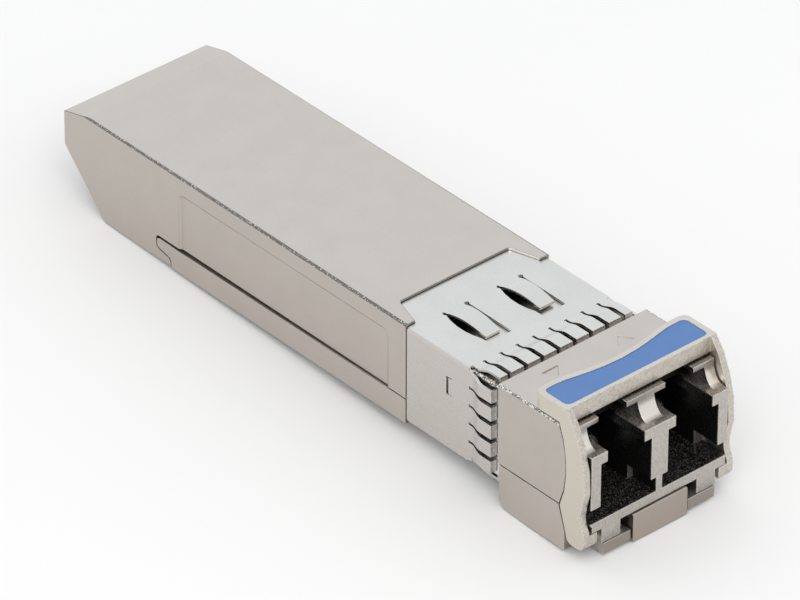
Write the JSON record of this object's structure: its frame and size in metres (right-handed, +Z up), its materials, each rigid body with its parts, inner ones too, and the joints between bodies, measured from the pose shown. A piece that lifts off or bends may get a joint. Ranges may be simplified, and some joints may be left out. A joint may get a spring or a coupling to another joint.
{
  "type": "optical transceiver module",
  "caption": "Pluggable duplex-LC fibre optic transceiver: slim die-cast body with card edge, fingered EMI collar, twin LC ports, latch lever and pull-down bail with a blue insert.",
  "frame": {"origin": "middle of the bottom of the bounding box, at the level of the latch lever's lowest edge, with the bail up", "axes": "+Y from the fibre ports towards the card edge, +X across the width with the receive port on the +X side, +Z up through the flat top"},
  "size_m": [0.0142, 0.057, 0.0122],
  "materials": {
    "cast_nickel": "nickel-plated zinc die casting, satin with a fine cast grain",
    "receptacle_nickel": "nickel-plated zinc die casting, darker and lightly brushed",
    "spring_sheet": "bright nickel-plated spring sheet",
    "bail_nickel": "warm satin nickel plate on a zinc die casting",
    "blue_insert": "mid blue, fine matt texture",
    "lever_nickel": "nickel-plated die casting",
    "steel": "turned and ground stainless steel",
    "spring_steel": "blued spring steel strip",
    "ceramic": "white zirconia, polished",
    "gold_plate": "gold plated",
    "flex_amber": "amber polyimide flexible circuit",
    "board_green": "green solder mask on glass laminate",
    "chip_black": "moulded black package",
    "capacitor_tan": "fired tan ceramic",
    "pad_grey": "soft grey gap filler",
    "absorber_black": "black magnetic rubber sheet",
    "retainer_black": "black moulded polymer"
  },
  "bodies": {
    "module": {"top_housing": "cast_nickel", "bottom_housing": "cast_nickel", "lc_receptacle": "receptacle_nickel", "emi_collar": "spring_sheet", "latch_pivot_pin": "steel", "latch_spring": "spring_steel", "osa_retainer": "retainer_black", "tosa_barrel": "steel", "tosa_sleeve": "ceramic", "tosa_can": "gold_plate", "tosa_flex": "flex_amber", "rosa_barrel": "steel", "rosa_sleeve": "ceramic", "rosa_can": "gold_plate", "rosa_flex": "flex_amber", "circuit_board": "board_green", "ic_laser_driver": "chip_black", "ic_receive_amplifier": "chip_black", "ic_microcontroller": "chip_black", "inductor_transmit": "chip_black", "inductor_receive": "chip_black", "capacitor_1": "capacitor_tan", "capacitor_2": "capacitor_tan", "capacitor_3": "capacitor_tan", "capacitor_4": "capacitor_tan", "thermal_pad": "pad_grey", "absorber_sheet": "absorber_black", "contact_top_01": "gold_plate", "contact_top_02": "gold_plate", "contact_top_03": "gold_plate", "contact_top_04": "gold_plate", "contact_top_05": "gold_plate", "contact_top_06": "gold_plate", "contact_top_07": "gold_plate", "contact_top_08": "gold_plate", "contact_top_09": "gold_plate", "contact_top_10": "gold_plate", "contact_bottom_01": "gold_plate", "contact_bottom_02": "gold_plate", "contact_bottom_03": "gold_plate", "contact_bottom_04": "gold_plate", "contact_bottom_05": "gold_plate", "contact_bottom_06": "gold_plate", "contact_bottom_07": "gold_plate", "contact_bottom_08": "gold_plate", "contact_bottom_09": "gold_plate", "contact_bottom_10": "gold_plate"},
    "bail": {"bail_lever": "bail_nickel", "bail_inlay": "blue_insert", "bail_cam_shaft": "steel"},
    "latch": {"latch_lever": "lever_nickel"}
  },
  "joints": [
    {"name": "bail_swing", "type": "hinge", "parent": "module", "child": "bail", "pos_m": [0, -0.0273, 0.00193], "axis": [1, 0, 0], "range_deg": [0, 90]},
    {"name": "latch_rock", "type": "hinge", "parent": "module", "child": "latch", "pos_m": [0, -0.0222, 0.00162], "axis": [1, 0, 0], "range_deg": [0, 4.3], "deforming": ["latch_spring"]}
  ],
  "couplings": [
    {"joint": "latch_rock", "follows": "bail_swing", "ratio": 0.04777}
  ]
}
